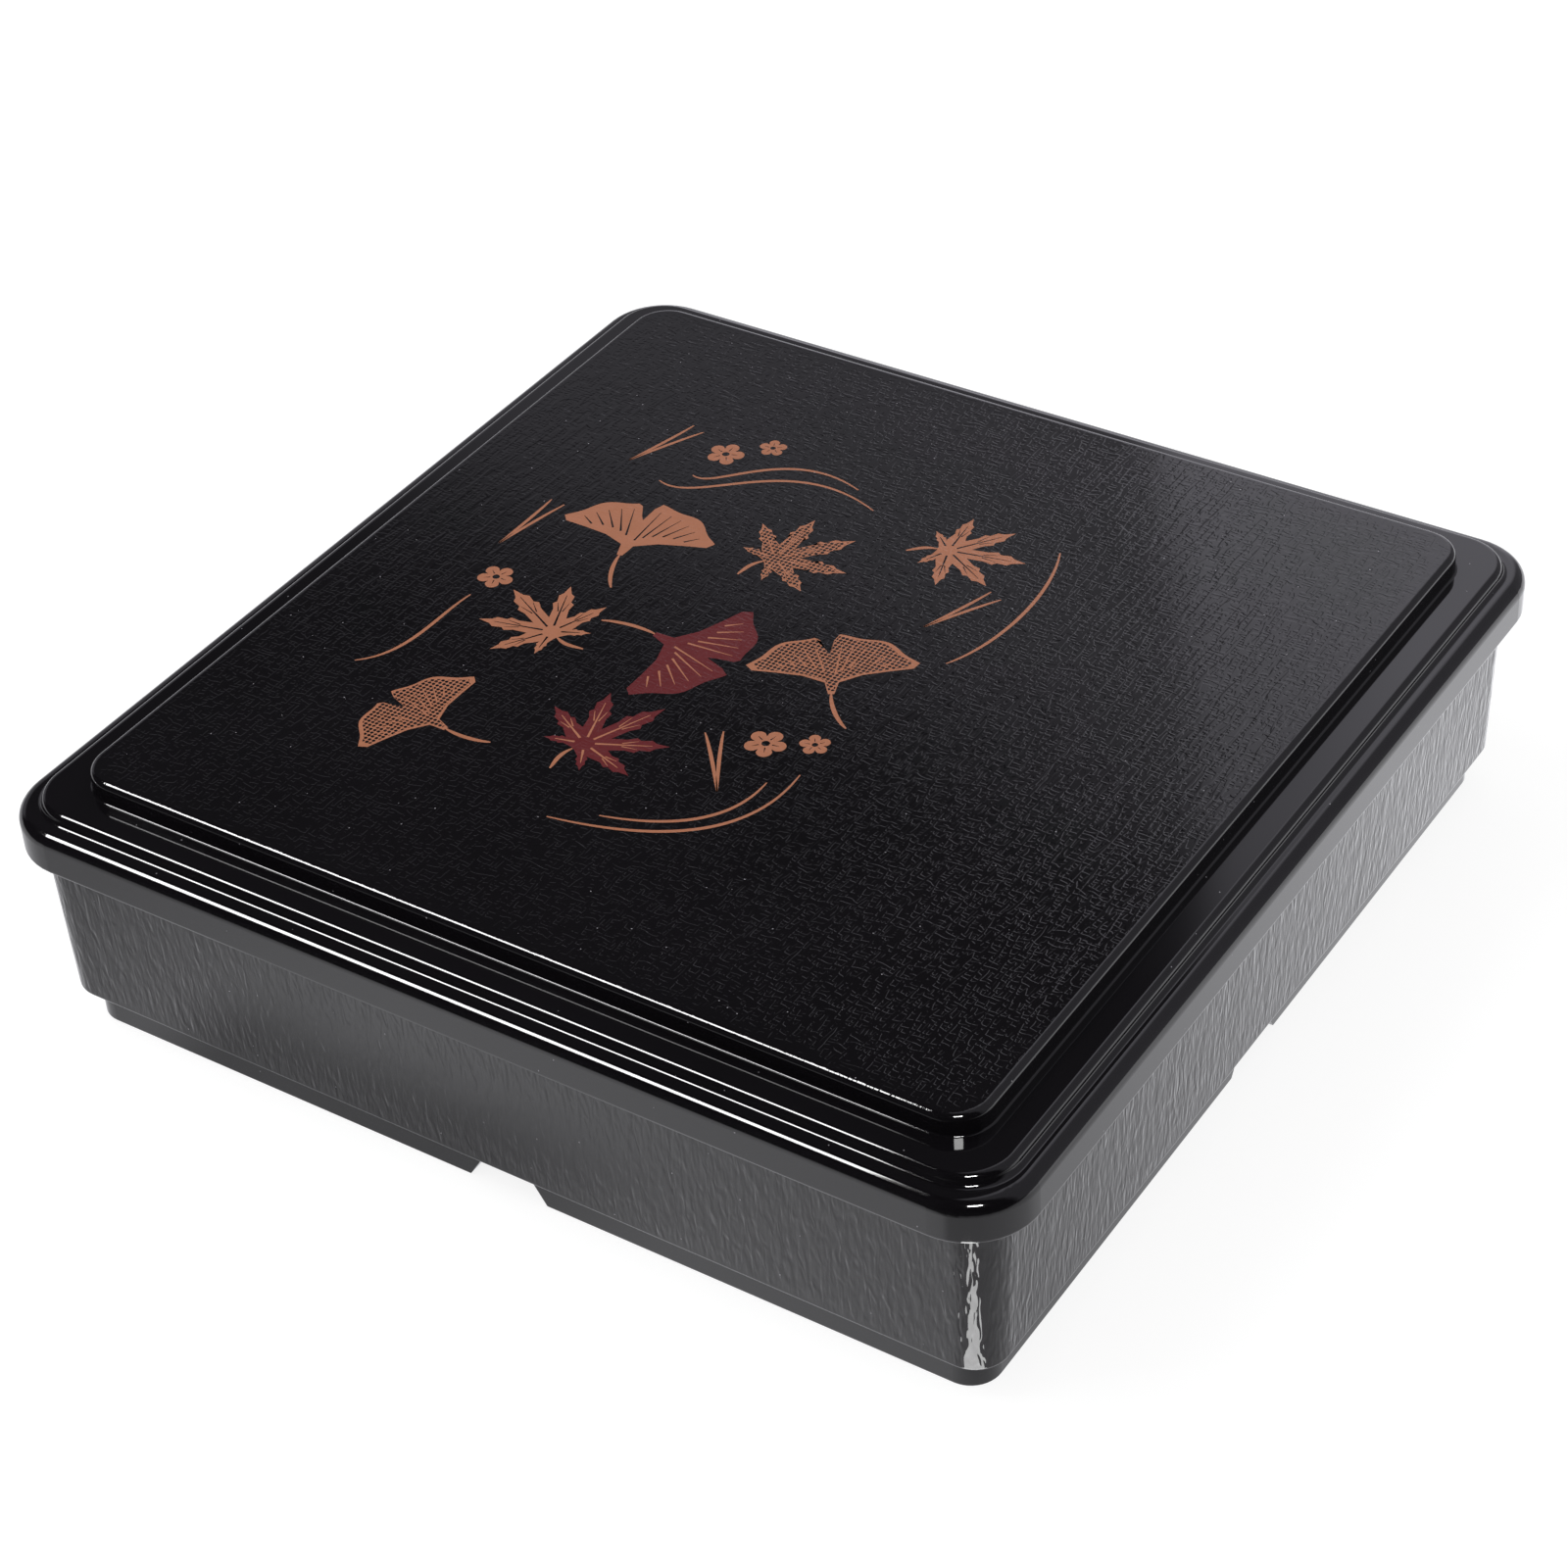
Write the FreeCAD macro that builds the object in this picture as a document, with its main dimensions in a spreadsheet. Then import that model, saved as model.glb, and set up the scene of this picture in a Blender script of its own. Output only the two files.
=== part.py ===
import FreeCAD, Part

import math
import os

import Sketcher

# A square lunch box of moulded pieces: a deep body on four corner feet, a cap lid with a raised
# panel, a cross partition of two halved slats, and four lift-out trays.
# Millimetres and degrees. +Z is up, the box stands on z = 0, and its middle is at x = y = 0.

# Driving sizes

SIZES = {
    # Lid: a flange, a rounded shoulder, a small step, a level border and a raised panel
    "lid_width": 265.0,
    "lid_corner_radius": 16.6,
    "lid_flange_height": 10.8,
    "lid_wall": 3.2,
    "lid_edge_radius": 1.2,
    "lid_clearance": 2.0,
    "shoulder_radius": 3.2,
    "step_inset": 5.1,
    "step_height": 2.6,
    "step_draft": 12.0,
    "step_corner_radius": 12.6,
    "step_edge_radius": 1.7,
    "step_root_radius": 1.4,
    "border_width": 9.3,
    "panel_height": 5.3,
    "panel_corner_radius": 9.7,
    "panel_edge_radius": 1.7,
    "panel_root_radius": 0.5,
    "panel_draft": 3.0,
    "lid_inner_radius": 1.0,
    # Body: a drafted wall on a foot ring that is set back from it and has a gap in each side
    "body_height": 59.1,
    "body_wall": 3.0,
    "body_floor": 3.0,
    "body_corner_radius": 9.6,
    "body_draft": 1.6,
    "body_bottom_radius": 1.0,
    "body_rim_radius": 0.8,
    "cavity_floor_radius": 2.5,
    "foot_height": 9.2,
    "foot_wall": 3.3,
    "foot_corner_radius": 7.4,
    "foot_edge_radius": 0.4,
    "foot_gap_width": 21.4,
    "foot_gap_narrowing": 5.7,
    "stack_clearance": 1.0,
    # Partition: two slats halved into each other
    "slats_below_rim": 5.3,
    "slat_thickness": 3.4,
    "slat_end_clearance": 0.7,
    "slat_corner_radius": 4.0,
    "slat_edge_radius": 1.2,
    "halving_clearance": 0.3,
    # Trays: drafted walls, a rounded bottom and a thicker rim
    "trays_below_slats": 4.0,
    "tray_wall": 2.0,
    "tray_floor": 2.2,
    "tray_clearance": 0.8,
    "tray_corner_radius": 9.5,
    "tray_draft": 3.5,
    "tray_bottom_radius": 7.0,
    "tray_rim_height": 3.0,
    "tray_rim_overhang": 1.2,
    "tray_rim_radius": 0.8,
    # What lies on something else stands this far above it
    "seat_clearance": 0.2,
    # How far a cut runs past the material that it has to clear
    "overrun": 5.0,
}

# Worked-out sizes, as expressions of the driving ones

RIM_WIDTH = "(Sizes.lid_width - 2 * (Sizes.lid_wall + Sizes.lid_clearance))"
WALL_HEIGHT = "(Sizes.body_height - Sizes.foot_height)"
BODY_BOTTOM_WIDTH = f"({RIM_WIDTH} - 2 * {WALL_HEIGHT} * tan(Sizes.body_draft * 1 deg))"
CAVITY_DEPTH = f"({WALL_HEIGHT} - Sizes.body_floor)"
CAVITY_RIM_WIDTH = f"({RIM_WIDTH} - 2 * Sizes.body_wall)"
CAVITY_FLOOR_WIDTH = f"({CAVITY_RIM_WIDTH} - 2 * {CAVITY_DEPTH} * tan(Sizes.body_draft * 1 deg))"
CONTENTS_BASE = "(Sizes.foot_height + Sizes.body_floor + Sizes.seat_clearance)"
LID_SEAT = "(Sizes.body_height + Sizes.seat_clearance)"
FLANGE_BOTTOM = "(Sizes.lid_wall - Sizes.lid_flange_height)"
STEP_WIDTH = "(Sizes.lid_width - 2 * Sizes.step_inset)"
STEP_TOP = "(Sizes.lid_wall + Sizes.step_height)"
PANEL_WIDTH = f"({STEP_WIDTH} - 2 * Sizes.border_width)"
PANEL_TOP = f"({STEP_TOP} + Sizes.panel_height)"
FOOT_INNER_WIDTH = f"({PANEL_WIDTH} + 2 * Sizes.stack_clearance)"
FOOT_WIDTH = f"({FOOT_INNER_WIDTH} + 2 * Sizes.foot_wall)"
SLAT_HEIGHT = f"({CAVITY_DEPTH} - Sizes.seat_clearance - Sizes.slats_below_rim)"
TRAY_HEIGHT = f"({SLAT_HEIGHT} - Sizes.trays_below_slats)"
SLAT_LENGTH = f"({CAVITY_FLOOR_WIDTH} - 2 * Sizes.slat_end_clearance)"
SLOT_WIDTH = "(Sizes.slat_thickness + Sizes.halving_clearance)"
TRAY_WIDTH = f"(({CAVITY_FLOOR_WIDTH} - Sizes.slat_thickness) / 2 - 2 * Sizes.tray_clearance)"
TRAY_OFFSET = f"((Sizes.slat_thickness + {TRAY_WIDTH}) / 2 + Sizes.tray_clearance)"
TRAY_SHELL_WIDTH = f"({TRAY_WIDTH} - 2 * Sizes.tray_rim_overhang)"

# Two heights or widths nearer than this are the same when edges are picked by place
SAME = 0.01

document = FreeCAD.newDocument("lunch_box")
sheet = document.addObject("Spreadsheet::Sheet", "Sizes")
for row, (alias, number) in enumerate(SIZES.items(), start=1):
    sheet.set(f"A{row}", alias)
    sheet.set(f"B{row}", str(number))
    sheet.setAlias(f"B{row}", alias)
document.recompute()


def value(expression):
    """The number that an expression of the driving sizes comes to now."""
    return float(sheet.evalExpression(expression))


# Sketches and features that several pieces share


def origin_plane(body, role):
    """One of the body's own three planes, such as XY_Plane."""
    return next(item for item in body.Origin.OriginFeatures if item.Role == role)


def new_sketch(body, name, role, offset="0"):
    """An empty sketch on one of the body's planes, moved along the plane's normal."""
    sketch = body.newObject("Sketcher::SketchObject", name)
    sketch.AttachmentSupport = [(origin_plane(body, role), "")]
    sketch.MapMode = "FlatFace"
    sketch.setExpression("AttachmentOffset.Base.z", offset)
    return sketch


def constrain(sketch, expression, name, kind, *where):
    """A named size in a sketch that follows an expression."""
    index = sketch.addConstraint(Sketcher.Constraint(kind, *where, value(expression)))
    sketch.renameConstraint(index, name)
    sketch.setExpression(f"Constraints.{name}", expression)


def add_rounded_square(sketch, width, radius, label=""):
    """A closed square outline with round corners, centred on the sketch's origin."""
    half = value(width) / 2
    corner = value(radius)
    inner = half - corner
    ends = (
        ((-inner, -half), (inner, -half)),
        ((half, -inner), (half, inner)),
        ((inner, half), (-inner, half)),
        ((-half, inner), (-half, -inner)),
    )
    sides = [
        sketch.addGeometry(Part.LineSegment(FreeCAD.Vector(*start, 0), FreeCAD.Vector(*end, 0)))
        for start, end in ends
    ]
    corners = []
    for index, (x, y) in enumerate(((inner, -inner), (inner, inner), (-inner, inner), (-inner, -inner))):
        circle = Part.Circle(FreeCAD.Vector(x, y, 0), FreeCAD.Vector(0, 0, 1), corner)
        start = math.radians(90 * (index - 1))
        corners.append(sketch.addGeometry(Part.ArcOfCircle(circle, start, start + math.radians(90))))
    for index in range(4):
        sketch.addConstraint(Sketcher.Constraint("Tangent", sides[index], 2, corners[index], 1))
        following = sides[(index + 1) % 4]
        sketch.addConstraint(Sketcher.Constraint("Tangent", corners[index], 2, following, 1))
    for level, upright in ((sides[0], sides[1]), (sides[2], sides[3])):
        sketch.addConstraint(Sketcher.Constraint("Horizontal", level))
        sketch.addConstraint(Sketcher.Constraint("Vertical", upright))
    for other in corners[1:]:
        sketch.addConstraint(Sketcher.Constraint("Equal", corners[0], other))
    sketch.addConstraint(Sketcher.Constraint("Symmetric", corners[0], 3, corners[2], 3, -1, 1))
    constrain(sketch, radius, f"{label}Radius", "Radius", corners[0])
    constrain(sketch, width, f"{label}Width", "DistanceX", sides[3], 1, sides[1], 1)
    constrain(sketch, width, f"{label}Depth", "DistanceY", sides[0], 1, sides[2], 1)


def add_outline(sketch, points):
    """A closed outline of straight lines through the points, and the lines' numbers."""
    lines = []
    for start, end in zip(points, points[1:] + points[:1]):
        line = Part.LineSegment(FreeCAD.Vector(*start, 0), FreeCAD.Vector(*end, 0))
        lines.append(sketch.addGeometry(line))
    for line, following in zip(lines, lines[1:] + lines[:1]):
        sketch.addConstraint(Sketcher.Constraint("Coincident", line, 2, following, 1))
    return lines


def rounded_square(body, name, width, radius, height):
    """A level sketch of one rounded square at a height."""
    sketch = new_sketch(body, name, "XY_Plane", height)
    add_rounded_square(sketch, width, radius)
    return sketch


def extrude(body, kind, name, sketch, length, downwards=False, both_ways=False, draft=None):
    """A pad or a pocket of a sketch along its normal, against it, or half each way."""
    feature = body.newObject(f"PartDesign::{kind}", name)
    feature.Profile = sketch
    feature.setExpression("Length", length)
    if draft:
        feature.setExpression("TaperAngle", draft)
    if both_ways:
        feature.SideType = "Symmetric"
    else:
        # A pocket cuts against its sketch's normal unless it is reversed
        feature.Reversed = downwards if kind == "Pad" else not downwards
    before = feature.BaseFeature.Shape.Volume if feature.BaseFeature else 0
    document.recompute()
    change = feature.Shape.Volume - before
    if (change <= 0) if kind == "Pad" else (change >= 0):
        raise RuntimeError(f"{body.Label}: {name} changes nothing")
    return feature


def pick_edges(feature, test):
    """The names of the edges whose bounding boxes pass a test."""
    edges = enumerate(feature.Shape.Edges, start=1)
    return [f"Edge{number}" for number, edge in edges if test(edge.BoundBox)]


def level_loop(feature, height, width):
    """The edges of a level outline of a given width at a given height."""
    z = value(height)
    half = value(width) / 2

    def on_loop(box):
        level = abs(box.ZMin - z) < SAME and abs(box.ZMax - z) < SAME
        reach = max(abs(box.XMin), abs(box.XMax), abs(box.YMin), abs(box.YMax))
        return level and abs(reach - half) < SAME

    return pick_edges(feature, on_loop)


def round_edges(body, name, radius, edges):
    """A fillet of the named edges of the body's last feature."""
    base = body.Tip
    if not edges:
        raise RuntimeError(f"{body.Label}: {name} finds no edge")
    fillet = body.newObject("PartDesign::Fillet", name)
    fillet.Base = (base, edges)
    fillet.setExpression("Radius", radius)
    document.recompute()
    return fillet


def round_loops(body, name, radius, *loops):
    """A fillet of whole level outlines, each given as (height, width)."""
    edges = [edge for height, width in loops for edge in level_loop(body.Tip, height, width)]
    return round_edges(body, name, radius, edges)


def drafted(width, run, draft):
    """A width that a drafted wall narrows to over a run."""
    return f"({width} - 2 * {run} * tan({draft} * 1 deg))"


def new_piece(label, x="0", y="0", z="0"):
    """An empty body at its place in the box."""
    body = document.addObject("PartDesign::Body", label)
    body.Label = label
    body.setExpression("Placement.Base.x", x)
    body.setExpression("Placement.Base.y", y)
    body.setExpression("Placement.Base.z", z)
    return body


# Box body, with its foot ring


def add_foot_gaps(body, name, role):
    """A gap with slanted ends through the foot ring, on two opposite sides."""
    sketch = new_sketch(body, f"{name}_outline", role)
    low = value("Sizes.foot_gap_width") / 2
    high = low - value("Sizes.foot_gap_narrowing")
    top = value("Sizes.foot_height")
    mouth, right, ceiling, left = add_outline(sketch, [(-low, 0), (low, 0), (high, top), (-high, top)])
    sketch.addConstraint(Sketcher.Constraint("Symmetric", mouth, 1, mouth, 2, -1, 1))
    sketch.addConstraint(Sketcher.Constraint("Horizontal", ceiling))
    sketch.addConstraint(Sketcher.Constraint("Equal", right, left))
    constrain(sketch, "Sizes.foot_gap_width", "Mouth", "DistanceX", mouth, 1, mouth, 2)
    constrain(sketch, "Sizes.foot_gap_narrowing", "Slant", "DistanceX", right, 2, right, 1)
    constrain(sketch, "Sizes.foot_height", "Height", "DistanceY", right, 1, right, 2)
    extrude(body, "Pocket", name, sketch, f"{FOOT_WIDTH} + 2 * Sizes.overrun", both_ways=True)


def build_box_body():
    """The deep part: drafted walls on a floor, standing on four corner feet."""
    body = new_piece("box_body")
    inward = "-Sizes.body_draft"
    rim_height = "Sizes.body_height"
    outline = rounded_square(body, "rim_outline", RIM_WIDTH, "Sizes.body_corner_radius", rim_height)
    extrude(body, "Pad", "outer_form", outline, WALL_HEIGHT, downwards=True, draft=inward)
    bottom_loop = ("Sizes.foot_height", BODY_BOTTOM_WIDTH)
    round_loops(body, "wall_foot_rounding", "Sizes.body_bottom_radius", bottom_loop)

    cavity_radius = "Sizes.body_corner_radius - Sizes.body_wall"
    cavity = rounded_square(body, "cavity_outline", CAVITY_RIM_WIDTH, cavity_radius, rim_height)
    extrude(body, "Pocket", "cavity", cavity, CAVITY_DEPTH, downwards=True, draft=inward)
    floor_loop = ("Sizes.foot_height + Sizes.body_floor", CAVITY_FLOOR_WIDTH)
    round_loops(body, "cavity_floor_rounding", "Sizes.cavity_floor_radius", floor_loop)
    rim_loops = ((rim_height, RIM_WIDTH), (rim_height, CAVITY_RIM_WIDTH))
    round_loops(body, "rim_rounding", "Sizes.body_rim_radius", *rim_loops)

    # The ring fits round the raised panel of a second box's lid
    ring = rounded_square(body, "foot_outline", FOOT_WIDTH, "Sizes.foot_corner_radius", "0")
    inner_radius = "Sizes.foot_corner_radius - Sizes.foot_wall"
    add_rounded_square(ring, FOOT_INNER_WIDTH, inner_radius, label="Inner")
    extrude(body, "Pad", "foot_ring", ring, "Sizes.foot_height")
    add_foot_gaps(body, "front_and_back_gap", "XZ_Plane")
    add_foot_gaps(body, "side_gap", "YZ_Plane")
    outer_feet = level_loop(body.Tip, "0", FOOT_WIDTH)
    round_edges(body, "foot_rounding", "Sizes.foot_edge_radius", outer_feet)
    return body


# Lid, drawn from its seat on the rim


def build_lid():
    """The cap: its three levels, each a little smaller, are hollowed to one thickness."""
    body = new_piece("lid", z=LID_SEAT)
    flange = rounded_square(
        body, "flange_outline", "Sizes.lid_width", "Sizes.lid_corner_radius", "Sizes.lid_wall"
    )
    extrude(body, "Pad", "flange", flange, "Sizes.lid_flange_height", downwards=True)
    step = rounded_square(body, "step_outline", STEP_WIDTH, "Sizes.step_corner_radius", "Sizes.lid_wall")
    extrude(body, "Pad", "step", step, "Sizes.step_height", draft="-Sizes.step_draft")
    panel = rounded_square(body, "panel_outline", PANEL_WIDTH, "Sizes.panel_corner_radius", STEP_TOP)
    extrude(body, "Pad", "panel", panel, "Sizes.panel_height", draft="-Sizes.panel_draft")

    step_top_width = drafted(STEP_WIDTH, "Sizes.step_height", "Sizes.step_draft")
    panel_top_width = drafted(PANEL_WIDTH, "Sizes.panel_height", "Sizes.panel_draft")
    round_loops(body, "panel_root", "Sizes.panel_root_radius", (STEP_TOP, PANEL_WIDTH))
    round_loops(body, "panel_edge", "Sizes.panel_edge_radius", (PANEL_TOP, panel_top_width))
    round_loops(body, "step_root", "Sizes.step_root_radius", ("Sizes.lid_wall", STEP_WIDTH))
    round_loops(body, "step_edge", "Sizes.step_edge_radius", (STEP_TOP, step_top_width))
    round_loops(body, "shoulder", "Sizes.shoulder_radius", ("Sizes.lid_wall", "Sizes.lid_width"))

    # Each level's hollow starts where the one below it ends
    flange_rise = f"-{FLANGE_BOTTOM}"
    panel_base = "Sizes.step_height"
    levels = (
        ("flange", "Sizes.lid_width", "Sizes.lid_corner_radius", FLANGE_BOTTOM, flange_rise),
        ("step", STEP_WIDTH, "Sizes.step_corner_radius", "0", "Sizes.step_height"),
        ("panel", PANEL_WIDTH, "Sizes.panel_corner_radius", panel_base, "Sizes.panel_height"),
    )
    for name, width, radius, height, rise in levels:
        inner_width = f"{width} - 2 * Sizes.lid_wall"
        inner_radius = f"{radius} - Sizes.lid_wall"
        inner = rounded_square(body, f"{name}_hollow_outline", inner_width, inner_radius, height)
        extrude(body, "Pocket", f"{name}_hollow", inner, rise)

    hollow_top = (f"{panel_base} + Sizes.panel_height", f"{PANEL_WIDTH} - 2 * Sizes.lid_wall")
    round_loops(body, "hollow_top", "Sizes.lid_inner_radius", hollow_top)
    flange_loops = (
        (FLANGE_BOTTOM, "Sizes.lid_width"),
        (FLANGE_BOTTOM, "Sizes.lid_width - 2 * Sizes.lid_wall"),
    )
    round_loops(body, "flange_edge", "Sizes.lid_edge_radius", *flange_loops)
    return body


# Cross partition


def build_slat(label, role, slot_at_top):
    """One slat of the partition, with the slot that takes the other slat."""
    body = new_piece(label, z=CONTENTS_BASE)
    half = value(SLAT_LENGTH) / 2
    top = value(SLAT_HEIGHT)
    outline = new_sketch(body, "slat_outline", role)
    foot, right, head, left = add_outline(outline, [(-half, 0), (half, 0), (half, top), (-half, top)])
    outline.addConstraint(Sketcher.Constraint("Horizontal", head))
    outline.addConstraint(Sketcher.Constraint("Vertical", right))
    outline.addConstraint(Sketcher.Constraint("Vertical", left))
    outline.addConstraint(Sketcher.Constraint("Symmetric", foot, 1, foot, 2, -1, 1))
    constrain(outline, SLAT_LENGTH, "Length", "DistanceX", foot, 1, foot, 2)
    constrain(outline, SLAT_HEIGHT, "Height", "DistanceY", right, 1, right, 2)
    plate = extrude(body, "Pad", "plate", outline, "Sizes.slat_thickness", both_ways=True)

    # The lower corners clear the rounding between the box's floor and walls
    short = value("Sizes.slat_thickness") + SAME
    ends = pick_edges(plate, lambda box: box.ZMax < SAME and max(box.XLength, box.YLength) < short)
    round_edges(body, "lower_corners", "Sizes.slat_corner_radius", ends)

    sign = "-" if slot_at_top else "+"
    slot_end = f"{SLAT_HEIGHT} / 2 {sign} Sizes.halving_clearance / 2"
    slot = new_sketch(body, "slot_outline", "XY_Plane", slot_end)
    side = value(SLOT_WIDTH) / 2
    slot_corners = [(-side, -side), (side, -side), (side, side), (-side, side)]
    near, right, far, left = add_outline(slot, slot_corners)
    slot.addConstraint(Sketcher.Constraint("Horizontal", near))
    slot.addConstraint(Sketcher.Constraint("Vertical", right))
    slot.addConstraint(Sketcher.Constraint("Horizontal", far))
    slot.addConstraint(Sketcher.Constraint("Symmetric", near, 1, right, 2, -1, 1))
    constrain(slot, SLOT_WIDTH, "Width", "DistanceX", near, 1, near, 2)
    constrain(slot, SLOT_WIDTH, "Depth", "DistanceY", right, 1, right, 2)
    depth = f"{SLAT_HEIGHT} / 2 + Sizes.overrun"
    cut = extrude(body, "Pocket", "slot", slot, depth, downwards=not slot_at_top)

    heads = pick_edges(cut, lambda box: box.ZMin > top - SAME and max(box.XLength, box.YLength) > short)
    long_heads = [name for name in heads if cut.Shape.getElement(name).Length > 2 * short]
    round_edges(body, "top_rounding", "Sizes.slat_edge_radius", long_heads)
    return body


# Trays


def build_tray(label, across, along):
    """One lift-out tray: a thin drafted bowl with a thicker rim."""
    body = new_piece(label, f"{across} * {TRAY_OFFSET}", f"{along} * {TRAY_OFFSET}", CONTENTS_BASE)
    inward = "-Sizes.tray_draft"
    shell_radius = "Sizes.tray_corner_radius - Sizes.tray_rim_overhang"
    outline = rounded_square(body, "shell_outline", TRAY_SHELL_WIDTH, shell_radius, TRAY_HEIGHT)
    extrude(body, "Pad", "shell", outline, TRAY_HEIGHT, downwards=True, draft=inward)
    base_width = drafted(TRAY_SHELL_WIDTH, TRAY_HEIGHT, "Sizes.tray_draft")
    round_loops(body, "bottom_rounding", "Sizes.tray_bottom_radius", ("0", base_width))
    rim = rounded_square(body, "rim_outline", TRAY_WIDTH, "Sizes.tray_corner_radius", TRAY_HEIGHT)
    extrude(body, "Pad", "rim", rim, "Sizes.tray_rim_height", downwards=True)

    hollow_width = f"({TRAY_SHELL_WIDTH} - 2 * Sizes.tray_wall)"
    hollow_radius = f"{shell_radius} - Sizes.tray_wall"
    hollow_depth = f"({TRAY_HEIGHT} - Sizes.tray_floor)"
    hollow = rounded_square(body, "hollow_outline", hollow_width, hollow_radius, TRAY_HEIGHT)
    extrude(body, "Pocket", "hollow", hollow, hollow_depth, downwards=True, draft=inward)
    floor_width = drafted(hollow_width, hollow_depth, "Sizes.tray_draft")
    floor_radius = "Sizes.tray_bottom_radius - Sizes.tray_wall"
    round_loops(body, "floor_rounding", floor_radius, ("Sizes.tray_floor", floor_width))
    rim_foot = f"{TRAY_HEIGHT} - Sizes.tray_rim_height"
    rim_loops = (
        (TRAY_HEIGHT, TRAY_WIDTH),
        (TRAY_HEIGHT, hollow_width),
        (rim_foot, TRAY_WIDTH),
    )
    round_loops(body, "rim_rounding", "Sizes.tray_rim_radius", *rim_loops)
    return body


pieces = [build_box_body(), build_lid()]
pieces.append(build_slat("divider_long", "XZ_Plane", slot_at_top=True))
pieces.append(build_slat("divider_cross", "YZ_Plane", slot_at_top=False))
for side, across in (("left", -1), ("right", 1)):
    for end, along in (("front", -1), ("back", 1)):
        pieces.append(build_tray(f"tray_{end}_{side}", across, along))
document.recompute()

# Every object is sound before anything is written
for item in document.Objects:
    if "Invalid" in item.State or "Error" in item.State:
        raise RuntimeError(f"{item.Label} did not compute: {item.State}")
for piece in pieces:
    if piece.Shape.isNull() or not piece.Shape.isValid() or len(piece.Shape.Solids) != 1:
        raise RuntimeError(f"{piece.Label} is not one sound solid")

os.makedirs("parts", exist_ok=True)
for piece in pieces:
    piece.Shape.exportStep(f"parts/{piece.Label}.step")
    box = piece.Shape.optimalBoundingBox(False)
    print(
        f"{piece.Label}: {box.XLength:.1f} x {box.YLength:.1f} x {box.ZLength:.1f} mm, "
        f"z {box.ZMin:.1f} to {box.ZMax:.1f}, {piece.Shape.Volume / 1000:.1f} cm3"
    )
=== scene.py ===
# %% [markdown]
# # A lunch box with a lacquer look
# The box is moulded ABS that is sprayed to look like lacquer: gloss black outside, vermilion inside.
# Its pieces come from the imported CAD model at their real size, in metres, with +Z up.
# This script gives them their finishes, prints leaves on the lid, and sets up camera and studio.

import math

import bpy
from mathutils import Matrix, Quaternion, Vector


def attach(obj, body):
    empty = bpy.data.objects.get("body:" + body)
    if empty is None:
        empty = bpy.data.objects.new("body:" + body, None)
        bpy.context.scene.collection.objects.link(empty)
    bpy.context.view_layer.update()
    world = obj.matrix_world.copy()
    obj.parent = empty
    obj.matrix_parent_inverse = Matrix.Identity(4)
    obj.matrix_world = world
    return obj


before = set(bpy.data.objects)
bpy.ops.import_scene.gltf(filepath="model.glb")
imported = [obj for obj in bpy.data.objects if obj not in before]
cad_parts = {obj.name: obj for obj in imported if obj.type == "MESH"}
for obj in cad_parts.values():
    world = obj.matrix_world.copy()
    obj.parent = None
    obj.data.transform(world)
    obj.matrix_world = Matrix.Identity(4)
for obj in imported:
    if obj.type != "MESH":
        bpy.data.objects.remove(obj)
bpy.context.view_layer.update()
MM = 0.001
print("pieces from the CAD model:", sorted(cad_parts))

# %% [markdown]
# ## Camera
# The photograph looks down on one corner from about 38 degrees above the table. A camera was fitted
# to the outlines of the lid and the feet, so its place is written as angles and a distance from the
# point that it looks at. The slight roll is the photographer's.

# %% Camera
VIEW_AZIMUTH = 34.73
VIEW_ELEVATION = 37.87
VIEW_ROLL = -3.39
VIEW_DISTANCE = 0.9026
LOOK_AT = Vector((-11.39, 10.9, 19.86)) * MM
LENS = 84.71


def direction(azimuth, elevation):
    """The unit vector towards a place round the object: azimuth 0 is -Y and 90 is +X, in degrees."""
    turn, rise = math.radians(azimuth), math.radians(elevation)
    return Vector((math.sin(turn) * math.cos(rise), -math.cos(turn) * math.cos(rise), math.sin(rise)))


bpy.ops.object.camera_add()
camera = bpy.context.object
camera.name = "photo_camera"
camera.data.lens = LENS
towards_camera = direction(VIEW_AZIMUTH, VIEW_ELEVATION)
camera.location = LOOK_AT + towards_camera * VIEW_DISTANCE
camera.rotation_mode = "QUATERNION"
level_view = (-towards_camera).to_track_quat("-Z", "Y")
camera.rotation_quaternion = level_view @ Quaternion((0, 0, 1), math.radians(VIEW_ROLL))
bpy.context.scene.camera = camera
print("camera at", [round(c, 4) for c in camera.location])

# %% [markdown]
# ## Colours and nodes
# Colours are picked as they look on a screen, so one function turns their hex values to the linear
# ones that the shaders want. Every material is a node tree. One small function adds a node, gives it
# its settings, and joins its sockets, which keeps the trees short enough to read.


# %% Helpers for colours and nodes
def linear(hex_colour, alpha=1.0):
    """An sRGB hex colour as linear RGBA."""
    channels = [int(hex_colour[i : i + 2], 16) / 255 for i in (1, 3, 5)]
    return (*[c / 12.92 if c <= 0.04045 else ((c + 0.055) / 1.055) ** 2.4 for c in channels], alpha)


def add(tree, kind, sockets=None, **settings):
    """A new node. Each socket gets a value, or a link where the value is another node's output."""
    node = tree.nodes.new("ShaderNode" + kind)
    for name, setting in settings.items():
        setattr(node, name, setting)
    for name, content in (sockets or {}).items():
        if isinstance(content, bpy.types.NodeSocket):
            tree.links.new(content, node.inputs[name])
        else:
            node.inputs[name].default_value = content
    return node


def new_material(name):
    """An empty material and its empty node tree, for a tree that is built by hand."""
    material = bpy.data.materials.new(name)
    material.use_nodes = True
    material.node_tree.nodes.clear()
    return material, material.node_tree


# %% [markdown]
# ## Studio
# The photograph is a plain product shot on white. A gloss black object shows little but what it
# mirrors, so the studio is built for mirrors first: a wide softbox on the left, a table that is
# white near the box and dark further in front, and a grey wall with a pale part behind the box on
# the right. Light Path tells mirror rays from the rest, so none of this changes how much light
# falls on the box.

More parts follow.
